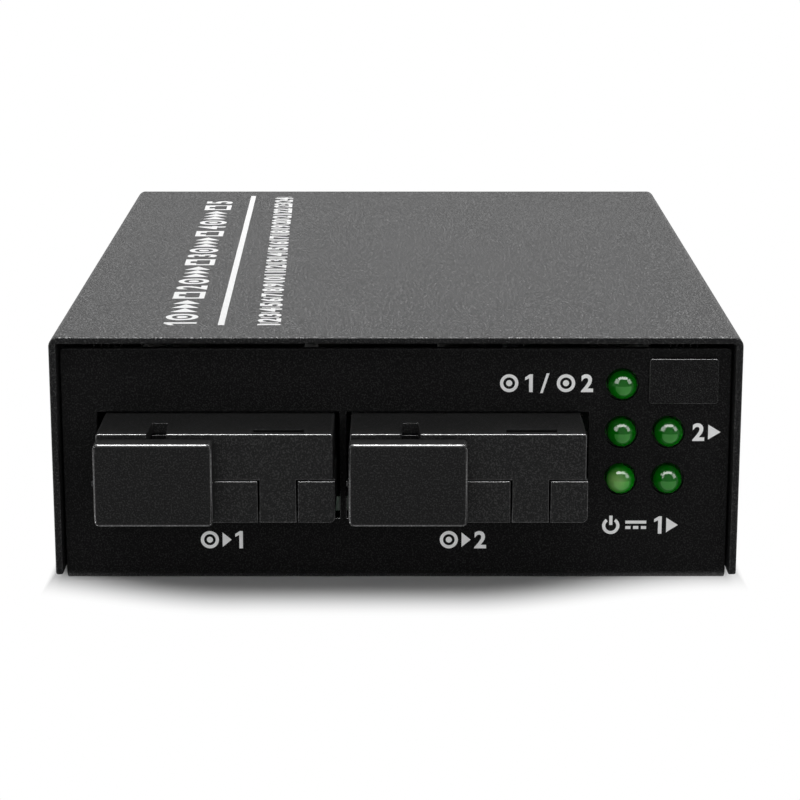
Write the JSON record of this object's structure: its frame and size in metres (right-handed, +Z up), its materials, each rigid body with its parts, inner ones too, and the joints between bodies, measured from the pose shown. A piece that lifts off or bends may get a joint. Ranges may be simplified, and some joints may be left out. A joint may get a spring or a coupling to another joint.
{
  "type": "fibre media converter",
  "caption": "Small black steel-cased converter with square fibre ports and round indicators on the front, copper network sockets and a barrel power inlet on the rear.",
  "frame": {"origin": "centre of the case's underside, on the surface it rests on", "axes": "+Z up, front panel with the fibre ports towards -Y, +X to the right seen from the front"},
  "size_m": [0.073, 0.1041, 0.027],
  "materials": {
    "case_coat": "fine-grained matt black powder coat",
    "plate_coat": "matt black, bare",
    "screw_black": "black oxide",
    "screw_steel": "zinc plated",
    "standoff_steel": "zinc plated",
    "board_green": "green solder mask",
    "module_plastic": "fine-grained matt black moulding",
    "cap_plastic": "fine-grained matt black moulding",
    "barrel_steel": "turned",
    "hook_plastic": "matt black moulding",
    "pin_gold": "gold flashed",
    "jack_plastic": "black moulding",
    "shield_steel": "tinned sheet",
    "led_green": "deep green clear dome",
    "led_pale": "milky yellow-green dome",
    "lead_tin": "tinned",
    "chip_black": "moulded package",
    "can_steel": "drawn can",
    "capacitor_sleeve": "dark sleeve"
  },
  "bodies": {
    "case": {"blank_plate": "plate_coat", "board_screws": "screw_steel", "capacitors": "capacitor_sleeve", "chassis_tray": "case_coat", "copper_port_1_contacts": "pin_gold", "copper_port_1_housing": "jack_plastic", "copper_port_1_shield": "shield_steel", "copper_port_2_contacts": "pin_gold", "copper_port_2_housing": "jack_plastic", "copper_port_2_shield": "shield_steel", "cover": "case_coat", "cover_screws": "screw_black", "crystal": "can_steel", "inductor": "chip_black", "led_holder": "jack_plastic", "led_leads": "lead_tin", "led_left_middle": "led_green", "led_left_top": "led_green", "led_power": "led_pale", "led_right_low": "led_green", "led_right_middle": "led_green", "magnetics_first": "chip_black", "magnetics_second": "chip_black", "main_board": "board_green", "power_inlet_body": "jack_plastic", "power_inlet_pin": "lead_tin", "power_inlet_spring": "lead_tin", "regulator": "chip_black", "standoffs": "standoff_steel", "switch_chip": "chip_black", "transceiver_1_barrel": "barrel_steel", "transceiver_1_board": "board_green", "transceiver_1_hooks": "hook_plastic", "transceiver_1_lower": "module_plastic", "transceiver_1_pins": "pin_gold", "transceiver_1_upper": "module_plastic", "transceiver_2_barrel": "barrel_steel", "transceiver_2_board": "board_green", "transceiver_2_hooks": "hook_plastic", "transceiver_2_lower": "module_plastic", "transceiver_2_pins": "pin_gold", "transceiver_2_upper": "module_plastic"},
    "cap_1": {"transceiver_1_dust_cap": "cap_plastic"},
    "cap_2": {"transceiver_2_dust_cap": "cap_plastic"}
  },
  "joints": [
    {"name": "cap_1_pull", "type": "slide", "parent": "case", "child": "cap_1", "axis": [0, -1, 0], "range_m": [0, 0.03]},
    {"name": "cap_2_pull", "type": "slide", "parent": "case", "child": "cap_2", "axis": [0, -1, 0], "range_m": [0, 0.03]}
  ]
}
